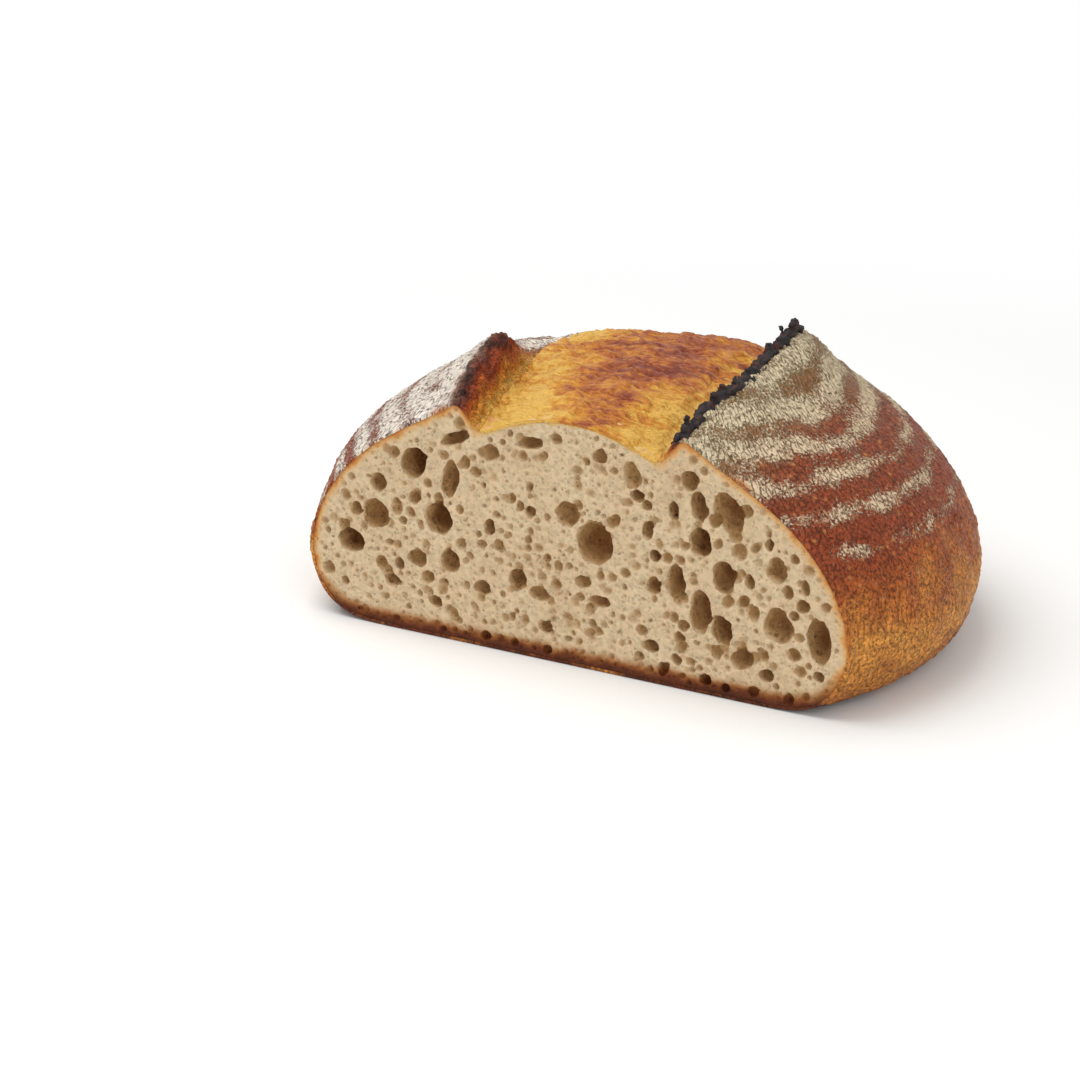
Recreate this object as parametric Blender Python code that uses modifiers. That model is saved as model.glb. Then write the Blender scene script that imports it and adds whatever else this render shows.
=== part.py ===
"""A cut sourdough loaf: the larger part of a round boule, sliced straight across its score.

One solid. Metres, +Z up. The loaf stands on its flat base, the cut face looks along -Y,
and the origin is the middle of the base's bounding box.
"""

import math

import bmesh
import bpy
from mathutils import Vector

# Driving dimensions of the whole boule, before the knife.
HALF_WIDTH = 0.122  # widest half measure across the score
HALF_LENGTH = 0.116  # widest half measure along the score
DOME_HEIGHT = 0.094  # crown of the dome, without the ears
BELLY_HEIGHT = 0.0235  # level at which the loaf is widest
FOOT_SHARE = 0.855  # the base's outline as a share of the widest one
DOME_ROUND = 1.8  # how flat the crown is
DOME_SHOULDER = 2.9  # how full the shoulders are

# The knife takes off the front; the widest place lies this far behind the cut.
CUT_TO_MIDDLE = 0.060
PART_LENGTH = CUT_TO_MIDDLE + HALF_LENGTH
CUT_Y = -PART_LENGTH / 2
OVERRUN = 0.020  # the skin is modelled this far in front of the cut, then cut flat

# The score opens into two ears with the bloom between them.
# Each row: distance behind the cut, distance of the ear's outer edge from the middle, its rise.
RIGHT_EAR = [
    (-OVERRUN, 0.042, 0.002),
    (0.000, 0.047, 0.0045),
    (0.040, 0.054, 0.010),
    (0.074, 0.057, 0.0188),
    (0.102, 0.055, 0.006),
    (0.122, 0.047, 0.0005),
    (0.155, 0.014, 0.000),
    (PART_LENGTH, 0.008, 0.000),
]
LEFT_EAR = [
    (-OVERRUN, 0.042, 0.001),
    (0.000, 0.0465, 0.004),
    (0.025, 0.051, 0.009),
    (0.044, 0.054, 0.011),
    (0.066, 0.060, 0.001),
    (0.110, 0.062, 0.000),
    (0.150, 0.026, 0.000),
    (PART_LENGTH, 0.008, 0.000),
]
EAR_FLARE = 0.036  # how far down the flank the ear lifts the crust
EAR_CURL = 2.7  # how sharply the crust curls up towards the ear's edge
EAR_REACH = 0.58  # the ear's edge is never further out than this share of the half width
FULL_RISE = 0.004  # an ear that rises this much stands fully open
LIP_THICKNESS = 0.0125  # from the ear's outer edge in to the bottom of the groove
LIP_SHARE = 0.3  # where the score runs out, the lip is this share of its distance from the middle
# The rolled lip. Each row: share of its thickness, share of the fall into the groove, roll above the edge.
LIP_ROLL = [(0.22, 0.0, 0.0020), (0.48, 0.0, 0.0012), (0.72, 0.38, 0.0), (0.90, 0.82, 0.0), (1.0, 1.0, 0.0)]
GROOVE_DEPTH = 0.005  # groove floor below the dome
BLOOM_DROP = 0.006  # the bloom's edge below the dome
BLOOM_EDGE = 0.92  # the bloom's edge as a share of the groove's distance from the middle
BLOOM_SHARES = (1.0, 0.8, 0.55, 0.28, 0.0)
BASE_SHARES = (0.0, 0.4, 0.8)
FOOT_TURNS = (0, 30, 60)
FLANK_STEPS = 8

# Bubbles opened by the knife: across, up, half width, half height, depth, lean in degrees.
# A lean turns the bubble's top towards +X.
OPEN_BUBBLES = [
    (-0.0600, 0.0635, 0.0052, 0.0060, 0.0090, 25),
    (-0.0455, 0.0600, 0.0034, 0.0070, 0.0060, 10),
    (-0.0505, 0.0445, 0.0058, 0.0058, 0.0090, 0),
    (-0.0765, 0.0420, 0.0055, 0.0058, 0.0060, 25),
    (-0.0870, 0.0300, 0.0055, 0.0045, 0.0090, 0),
    (-0.0750, 0.0540, 0.0034, 0.0036, 0.0050, 0),
    (-0.0435, 0.0750, 0.0065, 0.0024, 0.0060, -24),
    (-0.0140, 0.0780, 0.0052, 0.0024, 0.0050, -8),
    (-0.0190, 0.0275, 0.0036, 0.0040, 0.0060, 0),
    (0.0000, 0.0550, 0.0044, 0.0048, 0.0050, 0),
    (0.0105, 0.0460, 0.0070, 0.0076, 0.0080, 0),
    (0.0455, 0.0745, 0.0034, 0.0036, 0.0050, 0),
    (0.0490, 0.0660, 0.0030, 0.0055, 0.0060, -10),
    (0.0598, 0.0655, 0.0050, 0.0074, 0.0070, -28),
    (0.0500, 0.0535, 0.0040, 0.0054, 0.0080, 0),
    (0.0585, 0.0430, 0.0042, 0.0056, 0.0070, 0),
    (0.0415, 0.0375, 0.0034, 0.0066, 0.0070, -6),
    (0.0505, 0.0290, 0.0040, 0.0080, 0.0070, 0),
    (0.0585, 0.0240, 0.0038, 0.0056, 0.0070, -12),
    (0.0785, 0.0295, 0.0052, 0.0062, 0.0060, -25),
    (0.0775, 0.0490, 0.0034, 0.0050, 0.0050, -10),
    (0.0930, 0.0268, 0.0046, 0.0080, 0.0070, -6),
    (0.0660, 0.0150, 0.0040, 0.0037, 0.0060, 0),
]

BUBBLE_SIDES = 14
BUBBLE_RINGS = 9

STATIONS = 17  # sections from the knife to the back of the loaf
BACK_LIMIT = 0.985  # the last section, as a share of the half length
CUTTER_REACH = 0.2  # half size of the knife's and the table's cutters, well clear of the loaf


def eased(rows, place, column):
    """A value from rows of (place, ...), eased between the two rows around place."""
    if place <= rows[0][0]:
        return rows[0][column]
    for low, high in zip(rows, rows[1:]):
        if place <= high[0]:
            share = (place - low[0]) / (high[0] - low[0])
            return low[column] + (high[column] - low[column]) * share * share * (3 - 2 * share)
    return rows[-1][column]


def upper_level(reach):
    """Height of the dome where its outline is reach times the widest one."""
    return BELLY_HEIGHT + (DOME_HEIGHT - BELLY_HEIGHT) * (1 - reach**DOME_SHOULDER) ** (1 / DOME_ROUND)


def lower_level(reach):
    """Height of the rounded foot where its outline is reach times the widest one."""
    share = (reach - FOOT_SHARE) / (1 - FOOT_SHARE)
    return BELLY_HEIGHT * (1 - math.sqrt(max(0.0, 1 - share * share)))


def half_section(back, ear):
    """Points (out, up) of one half of the section, from the middle of the base to the bloom's crown."""
    along = (back - CUT_TO_MIDDLE) / HALF_LENGTH
    half_width = HALF_WIDTH * math.sqrt(1 - along * along)
    foot = max(FOOT_SHARE, abs(along))
    points = []

    def reach_of(out):
        return min(1.0, math.hypot(out / HALF_WIDTH, along))

    def out_of(reach):
        return HALF_WIDTH * math.sqrt(max(0.0, reach * reach - along * along))

    for share in BASE_SHARES:
        points.append((out_of(foot) * share, lower_level(foot)))
    for turn in FOOT_TURNS:
        reach = foot + (1 - foot) * math.sin(math.radians(turn))
        points.append((out_of(reach), lower_level(reach)))

    lip_out = min(eased(ear, back, 1), half_width * EAR_REACH)
    rise = eased(ear, back, 2)
    opening = min(1.0, rise / FULL_RISE)  # the ear closes up where the score runs out
    top_turn = math.acos(lip_out / half_width)
    for step in range(FLANK_STEPS + 1):
        out = half_width * math.cos(top_turn * step / FLANK_STEPS)
        near = max(0.0, 1 - (out - lip_out) / EAR_FLARE)
        points.append((out, upper_level(reach_of(out)) + rise * near**EAR_CURL))

    edge_up = points[-1][1]
    thickness = min(LIP_THICKNESS, lip_out * LIP_SHARE)
    groove_out = lip_out - thickness
    fall = edge_up - upper_level(reach_of(groove_out)) + GROOVE_DEPTH * opening
    for share, fallen, roll in LIP_ROLL:
        points.append((lip_out - thickness * share, edge_up - fall * fallen + roll * opening))
    for share in BLOOM_SHARES:
        out = groove_out * BLOOM_EDGE * share
        drop = BLOOM_DROP * opening * share * share
        points.append((out, upper_level(reach_of(out)) - drop))
    return points


def section(back):
    """The closed outline at one distance behind the cut, counter-clockwise seen from the front."""
    right = half_section(back, RIGHT_EAR)
    left = half_section(back, LEFT_EAR)
    crown = (0.0, (right[-1][1] + left[-1][1]) / 2)
    outline = [(out, up) for out, up in right[:-1]]
    outline.append(crown)
    outline += [(-out, up) for out, up in reversed(left[1:-1])]
    return [Vector((out, CUT_Y + back, up)) for out, up in outline]


def stations():
    """Distances behind the cut, closer together towards the rounded back."""
    start = math.asin((-OVERRUN - CUT_TO_MIDDLE) / HALF_LENGTH)
    end = math.asin(BACK_LIMIT)
    for step in range(STATIONS):
        turn = start + (end - start) * step / (STATIONS - 1)
        yield CUT_TO_MIDDLE + HALF_LENGTH * math.sin(turn)


def loft(name, rings, collection):
    """A closed skin through rings of equal count, capped at the front and gathered to a point at the back."""
    mesh = bmesh.new()
    rows = [[mesh.verts.new(place) for place in ring] for ring in rings]
    count = len(rows[0])
    for near, far in zip(rows, rows[1:]):
        for i in range(count):
            j = (i + 1) % count
            mesh.faces.new((near[i], near[j], far[j], far[i]))
    tip = mesh.verts.new((0.0, CUT_Y + PART_LENGTH, BELLY_HEIGHT))
    for i in range(count):
        mesh.faces.new((rows[-1][i], rows[-1][(i + 1) % count], tip))
    mesh.faces.new(list(reversed(rows[0])))
    bmesh.ops.remove_doubles(mesh, verts=mesh.verts, dist=0.0001)
    bmesh.ops.recalc_face_normals(mesh, faces=mesh.faces)
    data = bpy.data.meshes.new(name)
    mesh.to_mesh(data)
    mesh.free()
    made = bpy.data.objects.new(name, data)
    collection.objects.link(made)
    return made


def box_cutter(name, low, high, collection):
    """A box between two corners, kept as a cutter."""
    mesh = bmesh.new()
    bmesh.ops.create_cube(mesh, size=1.0)
    size = Vector(high) - Vector(low)
    middle = (Vector(high) + Vector(low)) / 2
    for vert in mesh.verts:
        vert.co = Vector((vert.co.x * size.x, vert.co.y * size.y, vert.co.z * size.z)) + middle
    data = bpy.data.meshes.new(name)
    mesh.to_mesh(data)
    mesh.free()
    return as_cutter(bpy.data.objects.new(name, data), collection)


def bubble_cutter(number, bubble, collection):
    """One ellipsoid bubble, its middle on the cut face."""
    across, up, half_across, half_up, depth, lean = bubble
    mesh = bmesh.new()
    bmesh.ops.create_uvsphere(mesh, u_segments=BUBBLE_SIDES, v_segments=BUBBLE_RINGS, radius=1.0)
    data = bpy.data.meshes.new(f"bubble_{number:02d}")
    mesh.to_mesh(data)
    mesh.free()
    bubble_object = bpy.data.objects.new(f"bubble_{number:02d}", data)
    bubble_object.location = (across, CUT_Y, up)
    bubble_object.rotation_euler = (0.0, math.radians(lean), 0.0)
    bubble_object.scale = (half_across, depth, half_up)
    return as_cutter(bubble_object, collection)


def as_cutter(cutter, collection):
    cutter.hide_render = True
    cutter.display_type = "WIRE"
    collection.objects.link(cutter)
    return cutter


def cut(body, cutter):
    modifier = body.modifiers.new(cutter.name, "BOOLEAN")
    modifier.operation = "DIFFERENCE"
    modifier.object = cutter


def crust_material():
    material = bpy.data.materials.new("baked_crust")
    material.use_nodes = True
    shader = material.node_tree.nodes["Principled BSDF"]
    shader.inputs["Base Color"].default_value = (0.36, 0.14, 0.045, 1.0)
    shader.inputs["Roughness"].default_value = 0.6
    shader.inputs["Metallic"].default_value = 0.0
    return material


def build():
    for leftover in list(bpy.data.objects):
        bpy.data.objects.remove(leftover)
    parts = bpy.data.collections.new("sourdough_loaf")
    cutters = bpy.data.collections.new("cutters")
    bpy.context.scene.collection.children.link(parts)
    bpy.context.scene.collection.children.link(cutters)

    loaf = loft("loaf", [section(back) for back in stations()], parts)
    loaf.data.materials.append(crust_material())
    smooth = loaf.modifiers.new("rounded", "SUBSURF")
    smooth.levels = 1
    smooth.render_levels = 1
    clear = CUTTER_REACH
    knife = box_cutter("knife", (-clear, -clear, -clear), (clear, CUT_Y, clear), cutters)
    table = box_cutter("table", (-clear, -clear, -clear), (clear, clear, 0.0), cutters)
    cut(loaf, table)
    cut(loaf, knife)
    for number, bubble in enumerate(OPEN_BUBBLES):
        cut(loaf, bubble_cutter(number, bubble, cutters))
    for polygon in loaf.data.polygons:
        polygon.use_smooth = True


build()
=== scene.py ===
"""A cut sourdough loaf: crust with flour rings, two charred ears, a torn golden bloom and an open crumb."""

import math
import random

import bpy
import numpy as np
from mathutils import Euler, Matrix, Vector, noise


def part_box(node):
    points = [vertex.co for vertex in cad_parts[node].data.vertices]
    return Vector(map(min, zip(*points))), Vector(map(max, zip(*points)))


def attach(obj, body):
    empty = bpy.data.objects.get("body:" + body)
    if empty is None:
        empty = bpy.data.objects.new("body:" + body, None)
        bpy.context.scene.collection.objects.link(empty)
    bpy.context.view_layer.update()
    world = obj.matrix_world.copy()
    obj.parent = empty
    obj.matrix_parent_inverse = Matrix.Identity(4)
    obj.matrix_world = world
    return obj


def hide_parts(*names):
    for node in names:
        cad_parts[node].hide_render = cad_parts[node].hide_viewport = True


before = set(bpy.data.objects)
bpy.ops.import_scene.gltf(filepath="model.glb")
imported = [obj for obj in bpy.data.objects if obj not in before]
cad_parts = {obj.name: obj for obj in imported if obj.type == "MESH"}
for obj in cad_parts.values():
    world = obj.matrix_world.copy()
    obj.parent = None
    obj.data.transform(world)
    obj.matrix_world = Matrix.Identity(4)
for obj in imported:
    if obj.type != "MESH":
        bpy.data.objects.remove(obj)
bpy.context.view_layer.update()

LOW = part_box("loaf")[0]
MM = 0.001

# The whole boule before the knife, as the frame has it, in metres.
HALF_WIDTH = 0.122
HALF_LENGTH = 0.116
DOME_HEIGHT = 0.094
BELLY_HEIGHT = 0.0235
FOOT_SHARE = 0.855
DOME_ROUND = 1.8
DOME_SHOULDER = 2.9
CUT_TO_MIDDLE = 0.060
CUT_Y = LOW.y
MIDDLE_Y = CUT_Y + CUT_TO_MIDDLE
PART_LENGTH = CUT_TO_MIDDLE + HALF_LENGTH

OVERRUN = 0.020  # the score's rows start this far in front of the cut

# Each row: distance behind the cut, distance of the ear's outer edge from the middle, its rise.
RIGHT_EAR = [
    (-OVERRUN, 0.042, 0.002),
    (0.000, 0.047, 0.0045),
    (0.040, 0.054, 0.010),
    (0.074, 0.057, 0.0188),
    (0.102, 0.055, 0.006),
    (0.122, 0.047, 0.0005),
    (0.155, 0.014, 0.000),
    (PART_LENGTH, 0.008, 0.000),
]
LEFT_EAR = [
    (-OVERRUN, 0.042, 0.001),
    (0.000, 0.0465, 0.004),
    (0.025, 0.051, 0.009),
    (0.044, 0.054, 0.011),
    (0.066, 0.060, 0.001),
    (0.110, 0.062, 0.000),
    (0.150, 0.026, 0.000),
    (PART_LENGTH, 0.008, 0.000),
]
EAR_FLARE = 0.036
EAR_CURL = 2.7
EAR_REACH = 0.58
FULL_RISE = 0.004  # an ear that rises this much stands fully open
LIP_THICKNESS = 0.0125
LIP_SHARE = 0.3
# The rolled lip: share of its thickness, share of the fall into the groove, roll above the edge, inward mark.
LIP_ROLL = [
    (0.22, 0.0, 0.0020, 0.30),
    (0.48, 0.0, 0.0012, 0.45),
    (0.72, 0.38, 0.0, 0.65),
    (0.90, 0.82, 0.0, 0.85),
    (1.0, 1.0, 0.0, 1.0),
]
GROOVE_DEPTH = 0.005
BLOOM_DROP = 0.006
BLOOM_EDGE = 0.92
NO_EAR = [(0.0, 0.045, 0.0)]  # the plain dome, for the end of the skin's inner pocket
BLOOM_END = (0.112, 0.150)  # the torn skin fades out between these distances behind the cut

# Steps round one half of a section, from the middle of the base to the crown.
BASE_SHARES = (0.0, 0.4, 0.8)
FOOT_TURNS = (0, 30, 60)
FLANK_STEPS = 14
BLOOM_SHARES = (1.0, 0.85, 0.7, 0.55, 0.4, 0.2, 0.0)
SECTIONS = 18
BACK_LIMIT = 0.985
RIM = 0.0009  # thickness of the crust's hard outer skin at the cut
TRAY_DEPTH = 0.0135  # the skin's inner pocket, which the crumb fills
TRAY_INSET = 0.010  # clear of the grooves
CRUMB_DEPTH = 0.0125

# Marks kept for each vertex of a lofted sheet, in the order of its rings' columns.
SKIN_MARKS = ("ear", "inward", "bloom", "gape", "inner")

# Relief of the skin: the grain of each kind and its height.
DENT_GRAIN, DENT_HEIGHT = 0.030, 0.0009
LUMP_GRAIN, LUMP_HEIGHT = 0.0085, 0.0005
BLISTER_GRAIN, BLISTER_HEIGHT = 0.0028, 0.0011
PIT_GRAIN, PIT_DEPTH = 0.0045, 0.0012
STREAK_GRAIN = (0.016, 0.0042, 0.010)  # drawn out across the score
STREAK_HEIGHT = 0.0015
FLAKE_GRAIN, FLAKE_HEIGHT = 0.006, 0.0014
CHAR_GRAIN, CHAR_HEIGHT = 0.0038, 0.0024
# Pockets torn open along the left groove: distance behind the cut and distance from the middle.
TORN_POCKETS = ((0.009, 0.034), (0.019, 0.036), (0.029, 0.038), (0.040, 0.040), (0.051, 0.041))
POCKET_RADIUS, POCKET_DEPTH, POCKET_UNDER = 0.0036, 0.0032, 0.004

# Large bubbles that the knife opened, in mm: across, up, half width, half height, depth, lean in degrees.
# A lean turns the bubble's top towards +X.
BUBBLES = [
    (-60, 63.5, 5.2, 6, 9, 25), (-45.5, 60, 3.4, 7, 6, 10), (-50.5, 44.5, 5.8, 5.8, 9, 0),
    (-76.5, 42, 5.5, 5.8, 6, 25), (-87, 30, 5.5, 4.5, 9, 0), (-75, 54, 3.4, 3.6, 5, 0),
    (-43.5, 75, 6.5, 2.4, 6, -24), (-14, 78, 5.2, 2.4, 5, -8), (-19, 27.5, 3.6, 4, 6, 0),
    (0, 55, 4.4, 4.8, 5, 0), (10.5, 46, 7, 7.6, 8, 0), (45.5, 74.5, 3.4, 3.6, 5, 0),
    (49, 66, 3, 5.5, 6, -10), (59.8, 65.5, 5, 7.4, 7, -28), (50, 53.5, 4, 5.4, 8, 0),
    (58.5, 43, 4.2, 5.6, 7, 0), (41.5, 37.5, 3.4, 6.6, 7, -6), (50.5, 29, 4, 8, 7, 0),
    (58.5, 24, 3.8, 5.6, 7, -12), (78.5, 29.5, 5.2, 6.2, 6, -25), (77.5, 49, 3.4, 5, 5, -10),
    (93, 26.8, 4.6, 8, 7, -6), (66, 15, 4, 3.7, 6, 0),
    (-60.5, 50.5, 2.4, 2.5, 4, 0), (-84.5, 42.5, 2.7, 2.8, 4, 0), (-46, 29.5, 4, 4.4, 6, 10),
    (-59.5, 28, 4.1, 3.1, 5, 0), (-29.5, 72, 3.6, 3, 4, -20), (-4, 81, 2.5, 2, 3, 0),
    (64, 53, 2.9, 3.1, 3, 0), (68, 43, 1.8, 2.8, 4, -10), (74.5, 57, 1.5, 2.3, 4, 0),
    (87, 38, 2.6, 2.6, 4, 0), (84, 34, 1.9, 1.7, 3, 0), (75, 11, 2.8, 2.4, 5, 0),
    (93.5, 14.5, 2.1, 2, 4, 0), (87.5, 44.5, 1.6, 2.9, 4, -10), (40, 63, 1.9, 3.8, 5, -8),
    (32.5, 13, 3.3, 2.5, 5, 0), (37, 5.5, 2, 2.6, 5, 0), (53, 5, 2.4, 2.2, 5, 0),
    (33, 35, 2.8, 3.2, 5, 0), (33.5, 46, 2, 2.5, 5, 0), (30.5, 54.5, 2.3, 3.4, 5, 0),
    (-10.5, 24, 4.2, 2.7, 4, 0), (6.5, 31.5, 3.3, 2.3, 4, 0), (13, 25.5, 4.3, 2.1, 5, 0),
    (12.5, 77.5, 2.9, 2.8, 4, 0), (24.5, 73, 3.2, 5, 4, -15), (26.5, 66, 2.6, 2.3, 5, 0),
    (-14, 53.5, 2.2, 2.1, 4, 0), (-30, 45, 2.2, 3.2, 5, 5), (-33, 22, 3.4, 3, 5, 0),
    (-70, 18, 3.2, 2.6, 5, 0), (-52, 13, 2.6, 2.2, 5, 0), (-8, 12, 3, 2.4, 5, 0),
]
BIG_BUBBLE = 0.0025  # a bubble with a larger half size than this is cut with a finer ball
PORE_RADII = (0.0006, 0.0014)  # of the pores in a large bubble's wall
SMALL_TRIES = 26000
SMALL_RADIUS = 0.0005  # the least one
SMALL_SPREAD = 0.0018  # what the largest has beyond the least
SMALL_RARENESS = 2.4  # the higher, the fewer large ones among the small
DENSE_MIDDLE, DENSE_WIDTH = 0.004, 0.045  # where across the loaf the small ones crowd
WALL = 0.00025  # flesh left between two bubbles
BREACHES = 0.08  # share of the crowded ones that break into a neighbour all the same
RIM_FLESH = 0.0016  # dense flesh under the skin
UNEVENNESS = 0.2
CRUMB_VOXEL = 0.0004
CRUMB_TRIANGLES = 180000

# The char along the right ear: where it starts and ends behind the cut, the distance between its balls,
# the half width of a ball, the half height of the tallest tooth and the length of a cluster of teeth.
CREST_START, CREST_END = 0.0030, 0.073
CREST_PACE = 0.0017
BALL_WIDTH = 0.0018
TOOTH_HEIGHT = 0.0034
CLUSTER_LENGTH = 0.008
CREST_SEED = 21
CREST_VOXEL = 0.00045
# Its band's balls: share of the lip's thickness in from its edge, and height over that edge.
BAND_ROWS = ((0.38, 0.0009), (0.52, 0.0002), (0.64, -0.0026))

# Flour rings lie where the coils of the proving basket pressed: distances down the skin from the crown.
RING_FIRST = 0.0669
RING_PITCH = 0.0133

# The view: the camera's place, its turn from -Y, its height angle and its lens.
CAMERA_PLACE = (0.3554, -0.7628, 0.3335)
CAMERA_TURN = 28.43
CAMERA_HEIGHT_ANGLE = 20.67
CAMERA_LENS = 80.0
SENSOR_WIDTH = 36.0

# The studio: strength of the white world, and each lamp's name, place, size and power.
WORLD_LIGHT = 0.62
LAMPS = (("overhead", (-0.35, -0.15, 1.0), 0.9, 7.5), ("front", (0.9, -0.75, 0.7), 0.8, 3.6))


# --- Form ---


def eased(rows, place, column):
    """A value from rows of (place, ...), eased between the two rows around place."""
    if place <= rows[0][0]:
        return rows[0][column]
    for low, high in zip(rows, rows[1:]):
        if place <= high[0]:
            share = (place - low[0]) / (high[0] - low[0])
            return low[column] + (high[column] - low[column]) * share * share * (3 - 2 * share)
    return rows[-1][column]


def upper_level(reach):
    """Height of the dome where its outline is reach times the widest one."""
    return BELLY_HEIGHT + (DOME_HEIGHT - BELLY_HEIGHT) * (1 - reach**DOME_SHOULDER) ** (1 / DOME_ROUND)


def lower_level(reach):
    """Height of the rounded foot where its outline is reach times the widest one."""
    share = (reach - FOOT_SHARE) / (1 - FOOT_SHARE)
    return BELLY_HEIGHT * (1 - math.sqrt(max(0.0, 1 - share * share)))


def half_section(back, ear):
    """Points (out, up, ear, inward, bloom, gape) of one half of the section, from the base to the crown.

    ear is 1 at the lip and fades down the flank, inward runs from 0 on the outside of the lip to 1
    at the bottom of the groove, bloom is 1 on the torn skin between the grooves, and gape is how far
    the ear stands open there.
    """
    along = (back - CUT_TO_MIDDLE) / HALF_LENGTH
    half_width = HALF_WIDTH * math.sqrt(1 - along * along)
    foot = max(FOOT_SHARE, abs(along))
    points = []

    def reach_of(out):
        return min(1.0, math.hypot(out / HALF_WIDTH, along))

    def out_of(reach):
        return HALF_WIDTH * math.sqrt(max(0.0, reach * reach - along * along))

    for share in BASE_SHARES:
        points.append((out_of(foot) * share, lower_level(foot), 0, 0, 0, 0))
    for turn in FOOT_TURNS:
        reach = foot + (1 - foot) * math.sin(math.radians(turn))
        points.append((out_of(reach), lower_level(reach), 0, 0, 0, 0))

    lip_out = min(eased(ear, back, 1), half_width * EAR_REACH)
    rise = eased(ear, back, 2)
    opening = min(1.0, rise / FULL_RISE)
    torn = min(1.0, max(0.0, (BLOOM_END[1] - back) / (BLOOM_END[1] - BLOOM_END[0])))
    top_turn = math.acos(lip_out / half_width)
    for step in range(FLANK_STEPS + 1):
        out = half_width * math.cos(top_turn * step / FLANK_STEPS)
        near = max(0.0, 1 - (out - lip_out) / EAR_FLARE)
        up = upper_level(reach_of(out)) + rise * near**EAR_CURL
        points.append((out, up, near * opening, 0, 0, opening))

    edge_up = points[-1][1]
    thickness = min(LIP_THICKNESS, lip_out * LIP_SHARE)
    groove_out = lip_out - thickness
    fall = edge_up - upper_level(reach_of(groove_out)) + GROOVE_DEPTH * opening
    for share, fallen, roll, inward in LIP_ROLL:
        up = edge_up - fall * fallen + roll * opening
        bloom = torn * max(0.0, share - 0.6)
        points.append((lip_out - thickness * share, up, opening * (1 - fallen), inward, bloom, opening))
    for share in BLOOM_SHARES:
        out = groove_out * BLOOM_EDGE * share
        drop = BLOOM_DROP * opening * share * share
        points.append((out, upper_level(reach_of(out)) - drop, 0, 0, torn, opening))
    return points


def section(back, ears=(RIGHT_EAR, LEFT_EAR)):
    """The closed outline at one distance behind the cut, with the middle of the base first."""
    right, left = (half_section(back, ear) for ear in ears)
    crown = (0.0, (right[-1][1] + left[-1][1]) / 2, *right[-1][2:])
    outline = [(out, up, *marks) for out, up, *marks in right[:-1]]
    outline.append(crown)
    outline += [(-out, up, *marks) for out, up, *marks in reversed(left[1:-1])]
    return np.array(outline)


def inset(outline, distance):
    """The outline moved in by distance in its own plane; it runs counter-clockwise seen from -Y."""
    moved = outline.copy()
    step = np.roll(outline[:, :2], -1, axis=0) - np.roll(outline[:, :2], 1, axis=0)
    step /= np.linalg.norm(step, axis=1)[:, None]
    moved[:, 0] -= step[:, 1] * distance
    moved[:, 1] += step[:, 0] * distance
    return moved


# --- Working by hand: selecting, applying, sculpting ---


def pick(*pieces):
    """Select these pieces alone; the last one is active."""
    bpy.ops.object.select_all(action="DESELECT")
    for piece in pieces:
        piece.select_set(True)
        bpy.context.view_layer.objects.active = piece


def apply(piece, kind, **settings):
    """Add one modifier to a piece and apply it."""
    pick(piece)
    modifier = piece.modifiers.new(kind.lower(), kind)
    for name, value in settings.items():
        setattr(modifier, name, value)
    bpy.ops.object.modifier_apply(modifier=modifier.name)


def grid_sheet(name, columns, rows):
    """A flat sheet of columns by rows faces, with nothing selected on it."""
    bpy.ops.mesh.primitive_grid_add(x_subdivisions=columns, y_subdivisions=rows, size=1)
    sheet = bpy.context.object
    sheet.name = name
    sheet.data.name = name
    pick(sheet)
    return sheet


def places(piece):
    """The places of a piece's vertices, one row each."""
    data = np.empty(len(piece.data.vertices) * 3, np.float32)
    piece.data.vertices.foreach_get("co", data)
    return data.reshape(-1, 3).astype(float)


def put(piece, co):
    """Move a piece's vertices to these places."""
    piece.data.vertices.foreach_set("co", co.astype(np.float32).ravel())
    piece.data.update()


def mark(piece, name, values):
    """Keep one number, or one vector, for each vertex."""
    kind = "FLOAT" if values.ndim == 1 else "FLOAT_VECTOR"
    layer = piece.data.attributes.new(name, kind, "POINT")
    layer.data.foreach_set("value" if kind == "FLOAT" else "vector", values.astype(np.float32).ravel())


def read(piece, name):
    """A mark's number for each vertex."""
    values = np.empty(len(piece.data.vertices), np.float32)
    piece.data.attributes[name].data.foreach_get("value", values)
    return values.astype(float)


def sculpt(piece, lift):
    """Move each vertex along its normal by lift(place, index)."""
    co = places(piece)
    normals = np.array([vertex.normal for vertex in piece.data.vertices])
    lifts = np.array([lift(Vector(place), index) for index, place in enumerate(co)])
    put(piece, co + normals * lifts[:, None])


def rolled_sheet(name, rings):
    """A tube through rings of (x, y, z, marks...), made from a flat sheet whose long sides are merged."""
    columns = len(rings[0])
    sheet = grid_sheet(name, columns, len(rings) - 1)
    # The sheet's vertices run along X first, so the first point of each ring is repeated at its end.
    closed = np.array([np.vstack([ring, ring[:1]]) for ring in rings])
    flat = closed.reshape(-1, closed.shape[2])
    put(sheet, flat[:, :3])
    for column, mark_name in enumerate(SKIN_MARKS):
        mark(sheet, mark_name, flat[:, 3 + column])
    bpy.ops.object.mode_set(mode="EDIT")
    bpy.ops.mesh.select_all(action="SELECT")
    bpy.ops.mesh.remove_doubles(threshold=0.00005)
    bpy.ops.mesh.select_all(action="DESELECT")
    bpy.ops.object.mode_set(mode="OBJECT")
    return sheet


def ring_at(back, shrink=0.0, ears=(RIGHT_EAR, LEFT_EAR)):
    """A section's ring in space, shrunk in its plane; its last mark, inner, is 1 if it is shrunk."""
    outline = section(back, ears)
    if shrink:
        outline = inset(outline, shrink)
    y = np.full(len(outline), CUT_Y + back)
    inner = np.full(len(outline), 1.0 if shrink else 0.0)
    return np.column_stack([outline[:, 0], y, outline[:, 1], outline[:, 2:], inner])


# --- Crust ---


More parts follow.
